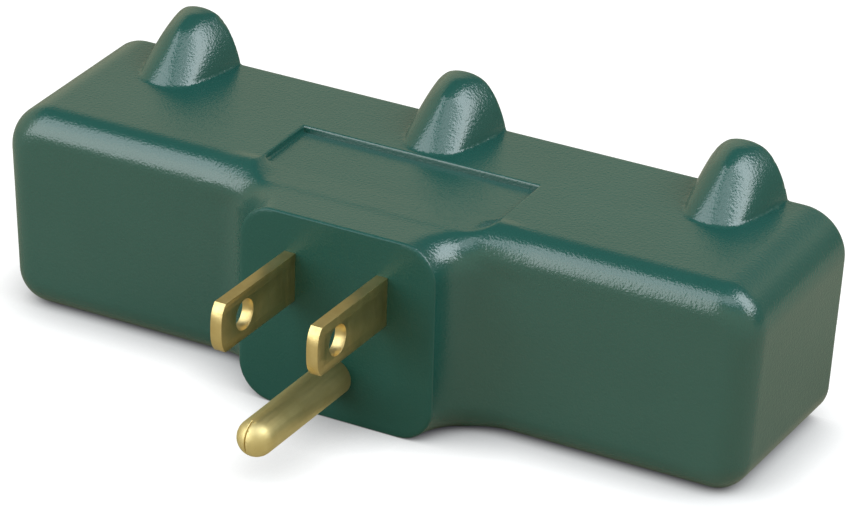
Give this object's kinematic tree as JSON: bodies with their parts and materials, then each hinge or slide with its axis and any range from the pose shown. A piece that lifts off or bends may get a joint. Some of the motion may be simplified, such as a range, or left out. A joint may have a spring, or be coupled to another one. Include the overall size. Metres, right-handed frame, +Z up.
{
  "type": "plug adapter",
  "caption": "Moulded bar with a grounded blade plug on a boss in one long face and a row of grounded outlets in the other, each outlet under a rounded bump on the top.",
  "frame": {"origin": "middle of the underside: half way along the bar, on the face it rests on, half way between the outlet face and the body's plug-side face", "axes": "+X along the bar, +Y out of the outlet face, +Z up through the bumps; the plug points along -Y"},
  "size_m": [0.1044, 0.0525, 0.0345],
  "materials": {
    "jacket_pvc": "soft dark green moulded vinyl with a fine grain",
    "core_plastic": "rigid dark moulding compound, unpolished",
    "bus_brass": "plain rolled strip",
    "contact_brass": "thin spring sheet, bright",
    "blade_brass": "rolled and blanked, lightly tarnished",
    "rivet_steel": "plated and headed"
  },
  "bodies": {
    "root": {"jacket": "jacket_pvc", "contact_carrier": "core_plastic", "bus_insulator": "core_plastic", "carrier_cover": "core_plastic", "blade_bridge": "core_plastic", "hot_bus": "bus_brass", "neutral_bus": "bus_brass", "ground_bus": "bus_brass", "hot_contact_1": "contact_brass", "hot_contact_2": "contact_brass", "hot_contact_3": "contact_brass", "neutral_contact_1": "contact_brass", "neutral_contact_2": "contact_brass", "neutral_contact_3": "contact_brass", "ground_contact_1": "contact_brass", "ground_contact_2": "contact_brass", "ground_contact_3": "contact_brass", "hot_blade": "blade_brass", "neutral_blade": "blade_brass", "ground_pin": "blade_brass", "contact_rivets": "rivet_steel", "blade_rivets": "rivet_steel"}
  },
  "joints": []
}
